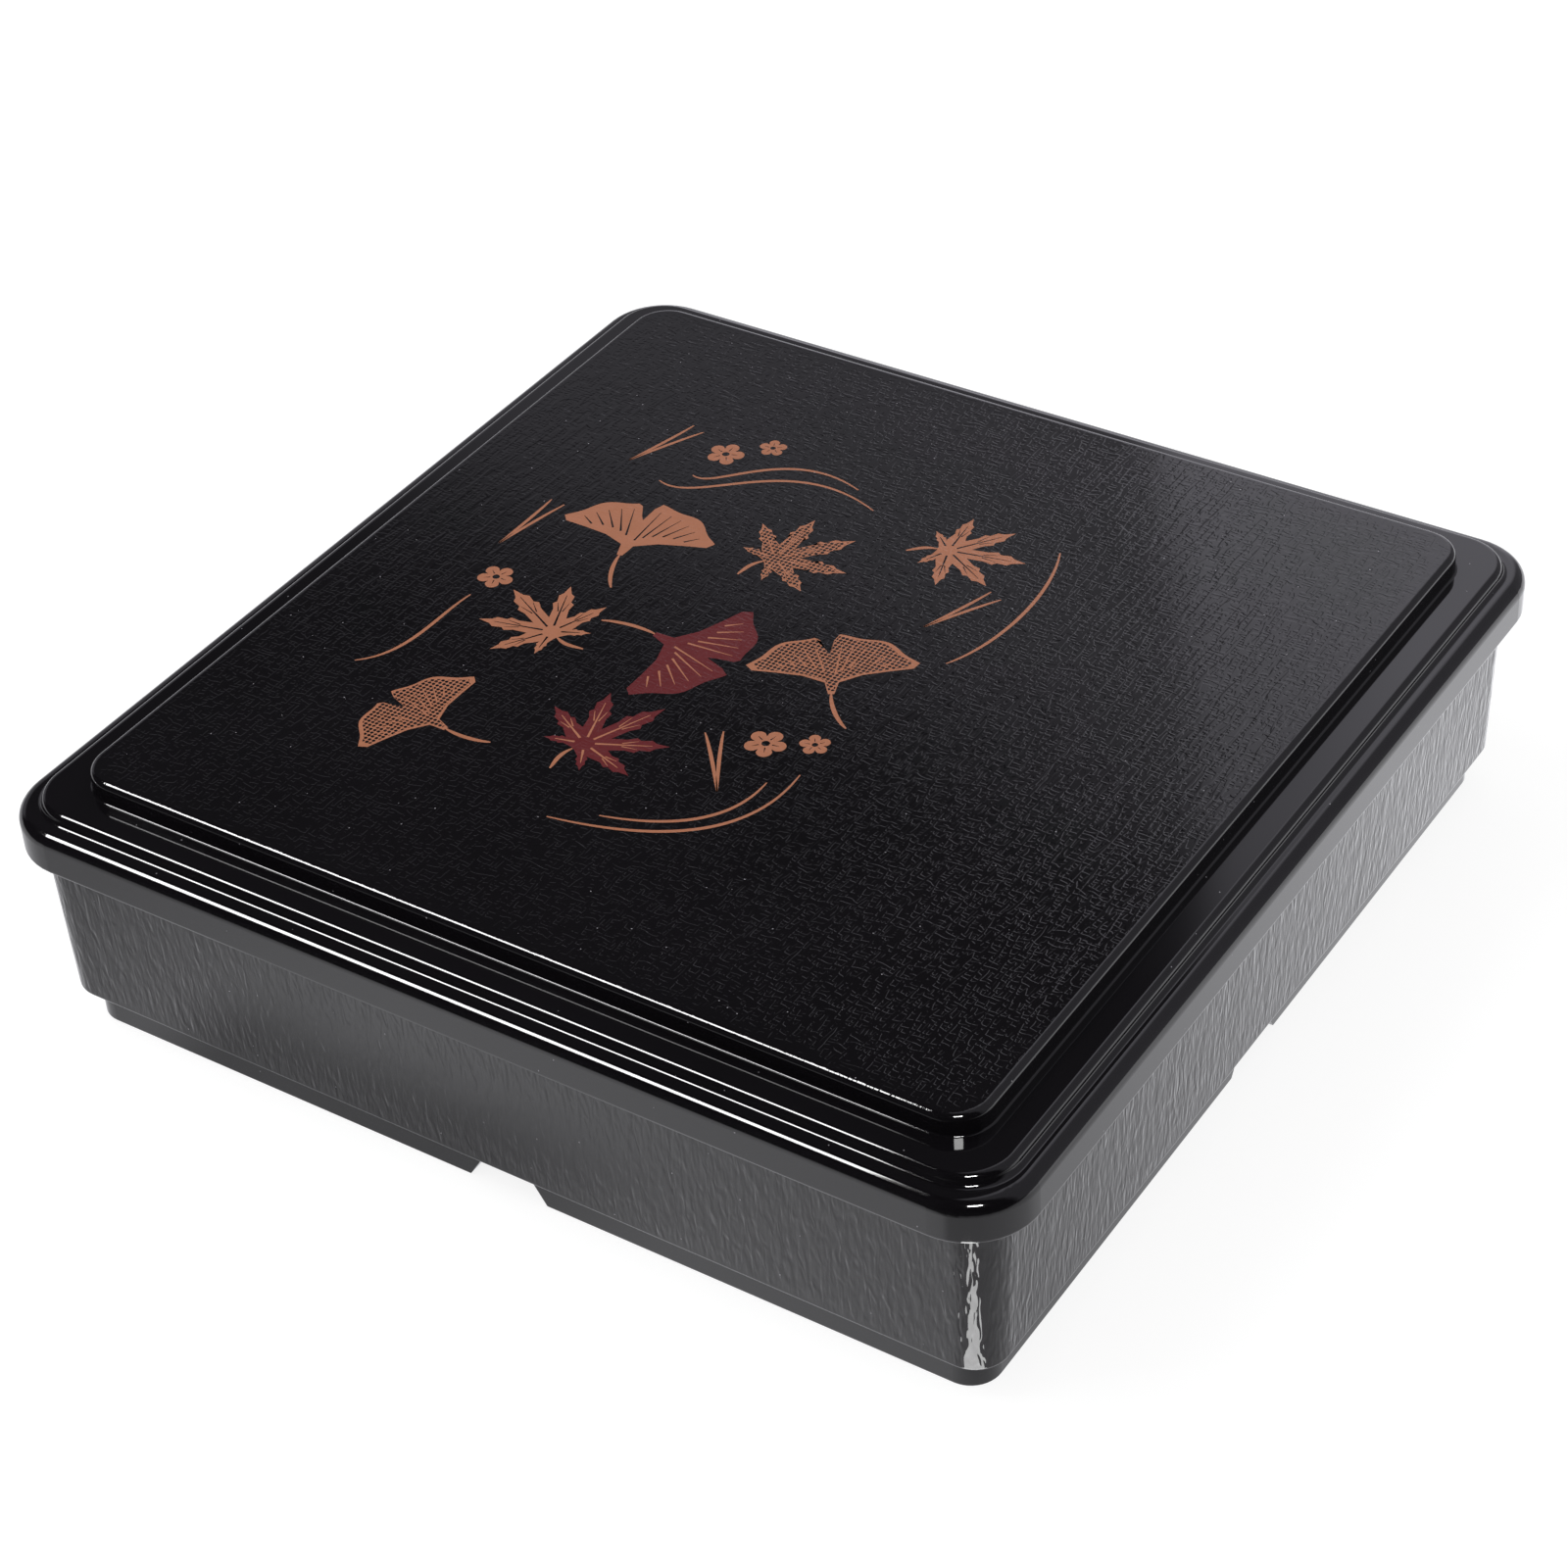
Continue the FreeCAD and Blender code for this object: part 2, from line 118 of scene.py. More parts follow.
# %% Colours on screen
bpy.context.scene.view_settings.view_transform = "Standard"

# %% Table
# It lies a little under the feet, because two surfaces at one level would show through each other.
TABLE_LEVEL = -0.05
bpy.ops.mesh.primitive_plane_add(size=6, location=(0, 0, TABLE_LEVEL * MM))
table = bpy.context.object
table.name = "table"
paper, tree = new_material("white_table_paper")
light_path = add(tree, "LightPath")
mirrored = add(
    tree,
    "Math",
    {0: light_path.outputs["Is Glossy Ray"], 1: light_path.outputs["Is Transmission Ray"]},
    operation="MAXIMUM",
)
ground = add(tree, "TexCoord")
spot = add(tree, "SeparateXYZ", {0: ground.outputs["Object"]})

# %% Table as the box mirrors it
front = add(
    tree,
    "MapRange",
    {"Value": spot.outputs["X"], "From Min": -0.16, "From Max": -0.06, "To Min": 0.85, "To Max": 1.2},
)
right = add(
    tree,
    "MapRange",
    {"Value": spot.outputs["Y"], "From Min": -0.09, "From Max": 0.11, "To Min": 0.8, "To Max": 1.6},
)
right_side = add(
    tree,
    "MapRange",
    {"Value": spot.outputs["X"], "From Min": 0.11, "From Max": 0.125},
    interpolation_type="SMOOTHSTEP",
)
near = add(
    tree, "Mix", {0: right_side.outputs[0], 2: front.outputs[0], 3: right.outputs[0]}, data_type="FLOAT"
)
to_the_right = add(tree, "Math", {0: spot.outputs["X"], 1: 0.0}, operation="MAXIMUM")
leaned = add(tree, "Math", {0: to_the_right.outputs[0], 1: 0.48, 2: 0.0}, operation="MULTIPLY_ADD")
ahead = add(tree, "Math", {0: leaned.outputs[0], 1: spot.outputs["Y"]}, operation="SUBTRACT")
falloff = add(
    tree,
    "MapRange",
    {"Value": ahead.outputs[0], "From Min": 0.23, "From Max": 0.38, "To Min": 1.0, "To Max": 0.04},
    interpolation_type="SMOOTHSTEP",
)
# The box shades a strip of the table in front of its left half.
shade_start = add(
    tree,
    "MapRange",
    {"Value": spot.outputs["X"], "From Min": -0.112, "From Max": -0.082},
    interpolation_type="SMOOTHSTEP",
)
shade_end = add(
    tree,
    "MapRange",
    {"Value": spot.outputs["X"], "From Min": -0.02, "From Max": 0.05, "To Min": 0.42, "To Max": 0.0},
    interpolation_type="SMOOTHSTEP",
)
close_by = add(
    tree,
    "MapRange",
    {"Value": spot.outputs["Y"], "From Min": -0.157, "From Max": -0.139},
    interpolation_type="SMOOTHSTEP",
)
shade_width = add(tree, "Math", {0: shade_start.outputs[0], 1: shade_end.outputs[0]}, operation="MULTIPLY")
shade = add(tree, "Math", {0: shade_width.outputs[0], 1: close_by.outputs[0]}, operation="MULTIPLY")
unshaded = add(tree, "Math", {0: 1.0, 1: shade.outputs[0]}, operation="SUBTRACT")
lit_part = add(tree, "Math", {0: near.outputs[0], 1: unshaded.outputs[0]}, operation="MULTIPLY")
glare = add(tree, "Math", {0: lit_part.outputs[0], 1: falloff.outputs[0]}, operation="MULTIPLY")
white = add(tree, "Emission", {"Color": linear("#fbfbff"), "Strength": glare.outputs[0]})

# %% Table as the camera sees it
diffuse = add(tree, "BsdfDiffuse", {"Color": linear("#8c8c8c")})
lift = add(tree, "Emission", {"Color": linear("#ffffff"), "Strength": 0.86})
seen = add(tree, "AddShader", {0: diffuse.outputs[0], 1: lift.outputs[0]})
plain = add(tree, "BsdfDiffuse", {"Color": linear("#e8e8e8")})
for_camera = add(
    tree, "MixShader", {0: light_path.outputs["Is Camera Ray"], 1: plain.outputs[0], 2: seen.outputs[0]}
)
surface = add(tree, "MixShader", {0: mirrored.outputs[0], 1: for_camera.outputs[0], 2: white.outputs[0]})
add(tree, "OutputMaterial", {"Surface": surface.outputs[0]})
table.data.materials.append(paper)
print("table:", len(tree.nodes), "nodes")

# %% [markdown]
# ## Walls of the studio
# The panel of the lid mirrors the wall behind the box. Its grey steps were read off the photograph
# as directions: the wall is dark high up, mid grey low down on the left, and pale further right,
# with slanting borders. Slanted sums of a direction's X and Z draw those borders. Beside the box it
# is grey again, which keeps the rounded edges on that side dark.

# %% World
world = bpy.data.worlds.new("studio")
bpy.context.scene.world = world
world.use_nodes = True
tree = world.node_tree
tree.nodes.clear()
light_path = add(tree, "LightPath")
place = add(tree, "TexCoord")
axes = add(tree, "SeparateXYZ", {0: place.outputs["Generated"]})
height = axes.outputs["Z"]
slant_left = add(tree, "Math", {0: axes.outputs["X"], 1: -0.46, 2: height}, operation="MULTIPLY_ADD")
slant_right = add(tree, "Math", {0: height, 1: -0.5, 2: axes.outputs["X"]}, operation="MULTIPLY_ADD")
grey_wall = add(
    tree,
    "MapRange",
    {"Value": slant_left.outputs[0], "From Min": 0.765, "From Max": 0.82, "To Min": 0.37, "To Max": 0.045},
    interpolation_type="SMOOTHSTEP",
)
to_the_right = add(
    tree,
    "MapRange",
    {"Value": axes.outputs["X"], "From Min": -0.33, "From Max": 0.07, "To Max": 0.8},
)
lowered = add(tree, "Math", {0: height, 1: to_the_right.outputs[0]}, operation="SUBTRACT")
pale_wall = add(
    tree,
    "MapRange",
    {"Value": lowered.outputs[0], "From Min": 0.55, "From Max": 0.70, "To Min": 1.3, "To Max": 0.35},
)
pale_part = add(
    tree,
    "MapRange",
    {"Value": slant_right.outputs[0], "From Min": -0.668, "From Max": -0.652},
    interpolation_type="SMOOTHSTEP",
)
wall = add(
    tree,
    "Mix",
    {0: pale_part.outputs[0], 2: grey_wall.outputs[0], 3: pale_wall.outputs[0]},
    data_type="FLOAT",
)
in_front = add(
    tree,
    "MapRange",
    {"Value": axes.outputs["Y"], "From Min": -0.05, "From Max": 0.15, "To Min": 0.03, "To Max": 1.0},
    interpolation_type="SMOOTHSTEP",
)
far_right = add(
    tree,
    "MapRange",
    {"Value": axes.outputs["X"], "From Min": -0.25, "From Max": 0.0, "To Min": 1.0, "To Max": 0.3},
    interpolation_type="SMOOTHSTEP",
)
sides = add(tree, "Math", {0: in_front.outputs[0], 1: far_right.outputs[0]}, operation="MULTIPLY")
mirrored_wall = add(tree, "Math", {0: wall.outputs[0], 1: sides.outputs[0]}, operation="MULTIPLY")
ambient = add(tree, "Background", {"Color": linear("#ffffff"), "Strength": 0.62})
mirror = add(tree, "Background", {"Color": linear("#f6f4ff"), "Strength": mirrored_wall.outputs[0]})
backdrop = add(tree, "Background", {"Color": linear("#ffffff"), "Strength": 1.0})
lit = add(
    tree,
    "MixShader",
    {0: light_path.outputs["Is Glossy Ray"], 1: ambient.outputs[0], 2: mirror.outputs[0]},
)
shown = add(
    tree,
    "MixShader",
    {0: light_path.outputs["Is Camera Ray"], 1: lit.outputs[0], 2: backdrop.outputs[0]},
)
add(tree, "OutputWorld", {"Surface": shown.outputs[0]})


# %% [markdown]
# ## Lamps
# The softbox on the left in front draws every bright line along the front. It is only there for
# mirror rays, and a softer lamp near it lights the colours and casts the shadow. The small lamp
# beside the camera draws the row of spots down the near corner, and a strip on the table the streak
# on the corner of the body.


# %% Lamps
def softbox(name, place, target, size, watts, roll=0.0):
    """A rectangular lamp at a place, facing a target. The size is its width and its height."""
    bpy.ops.object.light_add(type="AREA")
    lamp = bpy.context.object
    lamp.name = name
    lamp.data.shape = "RECTANGLE"
    lamp.data.size, lamp.data.size_y = size
    lamp.data.energy = watts
    lamp.location = place
    lamp.rotation_mode = "QUATERNION"
    level = (Vector(target) - Vector(place)).to_track_quat("-Z", "Y")
    lamp.rotation_quaternion = level @ Quaternion((0, 0, 1), math.radians(roll))
    return lamp


# The front edges mirror a fan of directions. The softbox is placed in that fan: its share of X, and
# its height above the front as an angle.
KEY_SIDEWAYS = -0.497
KEY_RISE = math.radians(64)
KEY_ROLL = 45.0
KEY_DISTANCE = 1.57
key_reach = math.sqrt(1 - KEY_SIDEWAYS**2)
key_way = Vector((KEY_SIDEWAYS, -key_reach * math.cos(KEY_RISE), key_reach * math.sin(KEY_RISE)))
middle = (0, 0, 0)
key = softbox("key_softbox", key_way * KEY_DISTANCE, middle, (0.64, 0.45), 27, roll=KEY_ROLL)
key.visible_diffuse = False
fill = softbox("key_for_colours", direction(301, 57.5) * KEY_DISTANCE, middle, (1.1, 0.58), 9)
fill.visible_glossy = False
small = softbox("lamp_by_camera", direction(41, 45) * 1.0, middle, (0.23, 0.1), 8)
small.visible_diffuse = False
strip_place = Vector((0.1345, -0.1509, 0.0006))
straight_up = (strip_place.x, strip_place.y, 1)
strip = softbox("strip_on_table", strip_place, straight_up, (0.012, 0.055), 0.014, roll=-26)
strip.visible_diffuse = False
strip.visible_camera = False

# %% [markdown]
# ## Cloth grain of the lid's panel
# On the real lid the mould is textured like coarse cloth: fine broken threads both ways, and longer
# raised ones from front to back. It could be modelled, but at a hundredth of a millimetre it only
# bends what the gloss mirrors, so it is a bump. It is a node group, because the ink over it has the
# same relief.

# %% Millimetres in a node group
grain = bpy.data.node_groups.new("cloth_grain", "ShaderNodeTree")
grain.interface.new_socket(name="Normal", in_out="OUTPUT", socket_type="NodeSocketVector")
place = add(grain, "TexCoord")
in_mm = add(grain, "VectorMath", {0: place.outputs["Object"], "Scale": 1000.0}, operation="SCALE")

# %% Threads of the cloth grain
# Real threads are 0.7 mm apart. They are drawn 0.9 mm apart, so that the render can show them. Each
# direction has its own noise, stretched into broken threads with flat tops and steep sides, and the
# higher of the two shows, as in a weave. Raised threads run further, about 1.7 mm apart.
THREADS = {
    "front_to_back": (1 / 0.9, 1 / 4.5),
    "side_to_side": (1 / 3.2, 1 / 0.9),
    "raised": (1 / 1.7, 1 / 15),
}
tops = {}
for threads, (over_x, over_y) in THREADS.items():
    stretched = add(grain, "VectorMath", {0: in_mm.outputs[0], 1: (over_x, over_y, 0)}, operation="MULTIPLY")
    noise = add(
        grain,
        "TexNoise",
        {"Vector": stretched.outputs[0], "Scale": 1.0, "Detail": 0.0},
        noise_dimensions="2D",
    )
    tops[threads] = add(
        grain,
        "MapRange",
        {"Value": noise.outputs[0], "From Min": 0.48, "From Max": 0.62},
        interpolation_type="SMOOTHSTEP",
    )
weave = add(
    grain,
    "Math",
    {0: tops["front_to_back"].outputs[0], 1: tops["side_to_side"].outputs[0]},
    operation="MAXIMUM",
)
cloth = add(
    grain,
    "Math",
    {0: tops["raised"].outputs[0], 1: 0.6, 2: weave.outputs[0]},
    operation="MULTIPLY_ADD",
)

# %% Where the cloth grain is
# It covers the panel's top, 236 mm wide, and gets fainter in the last 5 mm before the edge. The
# distance to the edge is measured from a square with this half width.
PANEL_CORNER = 107.5
size_from_middle = add(grain, "VectorMath", {0: in_mm.outputs[0]}, operation="ABSOLUTE")
past_corner = add(
    grain,
    "VectorMath",
    {0: size_from_middle.outputs[0], 1: (PANEL_CORNER, PANEL_CORNER, 1000)},
    operation="SUBTRACT",
)
outside = add(grain, "VectorMath", {0: past_corner.outputs[0], 1: (0, 0, 0)}, operation="MAXIMUM")
to_edge = add(grain, "VectorMath", {0: outside.outputs[0]}, operation="LENGTH")
softer = add(
    grain,
    "MapRange",
    {"Value": to_edge.outputs["Value"], "From Min": 4.5, "From Max": 9.0, "To Min": 1.0, "To Max": 0.4},
)
levels = add(grain, "SeparateXYZ", {0: in_mm.outputs[0]})
on_top = add(grain, "MapRange", {"Value": levels.outputs["Z"], "From Min": 69.0, "From Max": 70.2})
strength = add(grain, "Math", {0: softer.outputs[0], 1: on_top.outputs[0]}, operation="MULTIPLY")
relief = add(
    grain,
    "Bump",
    {"Height": cloth.outputs[0], "Strength": strength.outputs[0], "Distance": 0.018 * MM},
)
group_end = grain.nodes.new("NodeGroupOutput")
grain.links.new(relief.outputs["Normal"], group_end.inputs["Normal"])
print("cloth grain:", len(grain.nodes), "nodes")

# %% [markdown]
# ## Grain of the body's walls
# The walls have a softer grain: upright, wavy threads about 1.7 mm apart. A noise in space that is
# stretched upwards and bent a little gives that, and it runs round the corners without a seam.

# %% Wall grain group
wall_grain = bpy.data.node_groups.new("wall_grain", "ShaderNodeTree")
wall_grain.interface.new_socket(name="Normal", in_out="OUTPUT", socket_type="NodeSocketVector")
place = add(wall_grain, "TexCoord")
in_mm = add(wall_grain, "VectorMath", {0: place.outputs["Object"], "Scale": 1000.0}, operation="SCALE")
WIDE_THREADS = (1 / 1.7, 1 / 1.7, 1 / 6)
FINE_THREADS = (1 / 0.9, 1 / 0.9, 1 / 3.5)
wide_place = add(wall_grain, "VectorMath", {0: in_mm.outputs[0], 1: WIDE_THREADS}, operation="MULTIPLY")
wide = add(
    wall_grain, "TexNoise", {"Vector": wide_place.outputs[0], "Scale": 1.0, "Detail": 1.0, "Distortion": 0.6}
)
fine_place = add(wall_grain, "VectorMath", {0: in_mm.outputs[0], 1: FINE_THREADS}, operation="MULTIPLY")
fine = add(wall_grain, "TexNoise", {"Vector": fine_place.outputs[0], "Scale": 1.0, "Detail": 0.0})
threads = add(wall_grain, "Math", {0: fine.outputs[0], 1: 0.3, 2: wide.outputs[0]}, operation="MULTIPLY_ADD")
levels = add(wall_grain, "SeparateXYZ", {0: in_mm.outputs[0]})
# The foot ring below 9.2 mm is smooth.
above_foot = add(wall_grain, "MapRange", {"Value": levels.outputs["Z"], "From Min": 9.8, "From Max": 11.5})
relief = add(
    wall_grain,
    "Bump",
    {"Height": threads.outputs[0], "Strength": above_foot.outputs[0], "Distance": 0.3 * MM},
)
group_end = wall_grain.nodes.new("NodeGroupOutput")
wall_grain.links.new(relief.outputs["Normal"], group_end.inputs["Normal"])
print("wall grain:", len(wall_grain.nodes), "nodes")

# %% [markdown]
# ## Gloss coat on the lid and the body
# Both are moulded ABS with a sprayed urethane coat, black outside and vermilion inside. The sprayer
# masks one side, so the colours meet in a sharp line near the rim. The coat is a mirror at flat
# angles. Each material finds the inner side by its normal: it looks towards the middle of the box.
# A few specks of dust lie on the coat, as in the photograph.

# %% Coat values
BLACK = "#0b0a0c"
BLACK_WORN = "#121013"
VERMILION = "#ae3027"
VERMILION_DEEP = "#9c281f"
COAT_IOR = 1.5
COAT_ROUGHNESS = 0.055
DUST = "#8f8d92"
DUST_CELL = 4.5
DUST_RADIUS = 0.036
# Each node with four settings. Its inner side looks towards the middle axis of the box, at a point
# that is this many mm lower down for the lid, and higher up, so negative, for the body. Then come the
# lowest and the highest level of the red side, also in mm, and the grain.
SHELLS = (
    ("lid", 100.0, 52.2, 80.0, grain),
    ("box_body", -100.0, 9.7, 58.3, wall_grain),
)

# %% Gloss coat material
for name, look_at, lowest, highest, relief_group in SHELLS:
    material, tree = new_material("urethane_gloss_coat_" + name)
    place = add(tree, "TexCoord")
    in_mm = add(tree, "VectorMath", {0: place.outputs["Object"], "Scale": 1000.0}, operation="SCALE")
    level = add(tree, "SeparateXYZ", {0: in_mm.outputs[0]})
    sideways = add(tree, "VectorMath", {0: in_mm.outputs[0], 1: (1, 1, 0)}, operation="MULTIPLY")
    away = add(tree, "VectorMath", {0: sideways.outputs[0], 1: (0, 0, look_at)}, operation="ADD")
    facing = add(
        tree, "VectorMath", {0: away.outputs[0], 1: place.outputs["Normal"]}, operation="DOT_PRODUCT"
    )
    inward = add(tree, "Math", {0: facing.outputs["Value"], 1: 0.0}, operation="LESS_THAN")
    above = add(tree, "Math", {0: level.outputs["Z"], 1: lowest}, operation="GREATER_THAN")
    below = add(tree, "Math", {0: level.outputs["Z"], 1: highest}, operation="LESS_THAN")
    between = add(tree, "Math", {0: above.outputs[0], 1: below.outputs[0]}, operation="MULTIPLY")
    inside = add(tree, "Math", {0: inward.outputs[0], 1: between.outputs[0]}, operation="MULTIPLY")
    # Slight unevenness of the coat, about 40 mm across.
    cloud = add(tree, "TexNoise", {"Vector": in_mm.outputs[0], "Scale": 1 / 40, "Detail": 2.0})
    black = add(
        tree, "Mix", {0: cloud.outputs[0], 6: linear(BLACK), 7: linear(BLACK_WORN)}, data_type="RGBA"
    )
    red = add(
        tree, "Mix", {0: cloud.outputs[0], 6: linear(VERMILION), 7: linear(VERMILION_DEEP)}, data_type="RGBA"
    )
    colour = add(
        tree, "Mix", {0: inside.outputs[0], 6: black.outputs[2], 7: red.outputs[2]}, data_type="RGBA"
    )
    # Dust: specks up to 0.3 mm across, one in about 3 square centimetres. The cells are in mm, and
    # the radius is a share of a cell.
    cells = add(tree, "TexVoronoi", {"Vector": in_mm.outputs[0], "Scale": 1 / DUST_CELL})
    speck = add(tree, "Math", {0: cells.outputs["Distance"], 1: DUST_RADIUS}, operation="LESS_THAN")
    dusty = add(tree, "Mix", {0: speck.outputs[0], 6: colour.outputs[2], 7: linear(DUST)}, data_type="RGBA")
    rough = add(
        tree,
        "MapRange",
        {"Value": cloud.outputs[0], "From Min": 0.3, "From Max": 0.7, "To Min": 0.045, "To Max": 0.07},
    )
    # Only the outside has the moulded grain.
    relief = tree.nodes.new("ShaderNodeGroup")
    relief.node_tree = relief_group
    smooth = add(tree, "NewGeometry")
    facing_out = add(
        tree,
        "Mix",
        {0: inside.outputs[0], 4: relief.outputs["Normal"], 5: smooth.outputs["Normal"]},
        data_type="VECTOR",
    )
    shader = add(
        tree,
        "BsdfPrincipled",
        {
            "Base Color": dusty.outputs[2],
            "Roughness": rough.outputs[0],
            "IOR": COAT_IOR,
            "Normal": facing_out.outputs[1],
        },
    )
    add(tree, "OutputMaterial", {"Surface": shader.outputs[0]})
    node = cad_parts[name]
    node.data.materials.clear()
    node.data.materials.append(material)
    print(material.name, len(tree.nodes), "nodes")

# %% [markdown]
# ## Partition and trays
# The slats of the partition are black inside and out, and the four trays are red. Both are smooth
# mouldings with the same gloss coat. A sprayed coat never dries quite flat, so a very low, wide bump
# gives it the slight waviness that is called orange peel.

# %% Smooth coated pieces
SMOOTH_PIECES = {
    "divider_long": (BLACK, BLACK_WORN),
    "divider_cross": (BLACK, BLACK_WORN),
    "tray_front_left": (VERMILION, VERMILION_DEEP),
    "tray_front_right": (VERMILION, VERMILION_DEEP),
    "tray_back_left": (VERMILION, VERMILION_DEEP),
    "tray_back_right": (VERMILION, VERMILION_DEEP),
}
for name, (light, deep) in SMOOTH_PIECES.items():
    material, tree = new_material("smooth_gloss_coat_" + name)
    place = add(tree, "TexCoord")
    in_mm = add(tree, "VectorMath", {0: place.outputs["Object"], "Scale": 1000.0}, operation="SCALE")
    cloud = add(tree, "TexNoise", {"Vector": in_mm.outputs[0], "Scale": 1 / 30, "Detail": 2.0})
    colour = add(tree, "Mix", {0: cloud.outputs[0], 6: linear(light), 7: linear(deep)}, data_type="RGBA")
    # Orange peel: waves about 2.5 mm long.
    peel = add(tree, "TexNoise", {"Vector": in_mm.outputs[0], "Scale": 1 / 2.5, "Detail": 0.0})
    wavy = add(tree, "Bump", {"Height": peel.outputs[0], "Strength": 1.0, "Distance": 0.006 * MM})
    shader = add(
        tree,
        "BsdfPrincipled",
        {
            "Base Color": colour.outputs[2],
            "Roughness": COAT_ROUGHNESS,
            "IOR": COAT_IOR,
            "Normal": wavy.outputs["Normal"],
        },
    )
    add(tree, "OutputMaterial", {"Surface": shader.outputs[0]})
    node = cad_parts[name]
    node.data.materials.clear()
    node.data.materials.append(material)
print("smooth pieces:", len(SMOOTH_PIECES))

# %% [markdown]
# ## Leaf print
# The lid carries a screen print in copper and dark red: leaves blown together by the wind, with pine
# needles, blossoms and the lines of the wind. Each motif is a flat curve with its veins cut out as
# holes, filled and given a film's thickness. Flat curves keep every edge crisp at any size, which a
# pattern in the material would not. Three inks are three pieces, which ride on the lid.


# %% Outlines of the motifs
def polar(angle, radius):
    """A point by its angle from straight up, in degrees, and its distance."""
    turn = math.radians(angle)
    return (radius * math.sin(turn), radius * math.cos(turn))


def maple_leaf():
    """The outline of a maple leaf one unit tall above its middle, with seven toothed lobes."""
    lobes = ((-128, 0.5), (-84, 0.82), (-41, 0.98), (0, 1.08), (41, 0.98), (84, 0.82), (128, 0.5))
    teeth = ((-12, 0.5), (-13, 0.62), (-8, 0.66), (-7.5, 0.79), (-3.5, 0.84))
    base, notch = 0.16, 0.31
    outline = [polar(-168, base)]
    for number, (angle, reach) in enumerate(lobes):
        if number:
            outline.append(polar((angle + lobes[number - 1][0]) / 2, notch))
        outline += [polar(angle + turn, reach * share) for turn, share in teeth]
        outline.append(polar(angle, reach))
        outline += [polar(angle - turn, reach * share) for turn, share in reversed(teeth)]
    outline.append(polar(168, base))
    return outline


def ginkgo_leaf():
    """The outline of a ginkgo leaf one unit tall: a fan with a wavy rim and a cleft."""
    left_side = [(-0.03, 0), polar(-20, 0.2), polar(-44, 0.42), polar(-57, 0.66), polar(-63, 0.88)]
    rim = []
    for angle in range(-60, 61, 3):
        cleft = max(0.0, 1 - abs(angle + 4) / 7)
        wave = 0.025 * math.cos(math.radians(angle * 11))
        rim.append(polar(angle, 0.96 + wave - 0.42 * cleft**1.6))
    right_side = [(-x, y) for x, y in reversed(left_side)]
    return left_side + rim + right_side


def blossom():
    """The outline of a five-petalled blossom with a radius of one unit."""
    outline = []
    for angle in range(0, 360, 6):
        swell = abs(math.cos(math.radians(angle * 2.5))) ** 0.55
        outline.append(polar(angle, 0.52 + 0.48 * swell))
    return outline


def sliver(start, end, width):
    """A vein: a thin shape between two points that narrows to its end."""
    (x0, y0), (x1, y1) = start, end
    length = math.hypot(x1 - x0, y1 - y0)
    side = (-(y1 - y0) / length * width / 2, (x1 - x0) / length * width / 2)
    return [
        (x0 + side[0], y0 + side[1]),
        (x0 - side[0], y0 - side[1]),
        (x1 - side[0] * 0.3, y1 - side[1] * 0.3),
        (x1 + side[0] * 0.3, y1 + side[1] * 0.3),
    ]


print("maple leaf:", len(maple_leaf()), "points; ginkgo leaf:", len(ginkgo_leaf()), "points")

# %% [markdown]
# Veins are shared by all leaves of a kind. On a copper leaf they are gaps, through which the black
# shows, and on a red or dotted leaf they are filled with copper.

# %% Veins
MAIN_VEINS = ((-128, 0.36), (-84, 0.62), (-41, 0.78), (0, 0.88), (41, 0.78), (84, 0.62), (128, 0.36))
MAPLE_VEINS = [sliver(polar(angle, 0.12), polar(angle, reach), 0.03) for angle, reach in MAIN_VEINS]
MAPLE_VEINS += [
    sliver(polar(angle + side * 3.6, reach * 0.5), polar(angle + side * 7, reach * 0.72), 0.018)
    for angle, reach in ((-84, 0.72), (-41, 0.86), (0, 0.96), (41, 0.86), (84, 0.72))
    for side in (-1, 1)
]
GINKGO_VEINS = [
    sliver(polar(angle, 0.24 + abs(angle) * 0.0085), polar(angle, 0.84), 0.022)
    for angle in (-50, -41, -32, -23, -14, 6, 15, 24, 33, 42, 51)
]
print("veins:", len(MAPLE_VEINS), "in a maple leaf,", len(GINKGO_VEINS), "in a ginkgo leaf")


# %% [markdown]
# Stalks, needles and the lines of the wind are ribbons: a curve through four control points, with
# its width swelling in the middle as a brush stroke does.


# %% Ribbons
def ribbon(points, width, steps=40):
    """The outline of a stroke along a cubic curve, thin at its ends. All in millimetres."""
    corners = [Vector(point) for point in points]
    left, right = [], []
    for step in range(steps + 1):
        t = step / steps
        weights = ((1 - t) ** 3, 3 * t * (1 - t) ** 2, 3 * t * t * (1 - t), t**3)
        slopes = (-((1 - t) ** 2), (1 - t) * (1 - 3 * t), t * (2 - 3 * t), t * t)
        centre = sum((corner * weight for corner, weight in zip(corners, weights)), Vector((0, 0)))
        heading = sum((corner * slope for corner, slope in zip(corners, slopes)), Vector((0, 0))).normalized()
        half = width / 2 * (0.35 + 0.65 * math.sin(math.pi * t) ** 0.7)
        side = Vector((-heading.y, heading.x)) * half
        left.append(tuple(centre + side))
        right.append(tuple(centre - side))
    return left + right[::-1]


def placed(outline, where, turn, size):
    """An outline turned clockwise by an angle in degrees, scaled and moved. All in millimetres."""
    cosine, sine = math.cos(math.radians(turn)), math.sin(math.radians(turn))
    return [
        (where[0] + size * (x * cosine + y * sine), where[1] + size * (y * cosine - x * sine))
        for x, y in outline
    ]


print("a stroke has", len(ribbon(((0, 0), (1, 0), (2, 0), (3, 0)), 1)), "points")

# %% [markdown]
# The layout is a list: each leaf with its ink, its place on the panel, its turn in degrees and its
# size. Places, sizes and widths are in millimetres.
# The leaves lie loosely along a diagonal, left of the panel's middle.

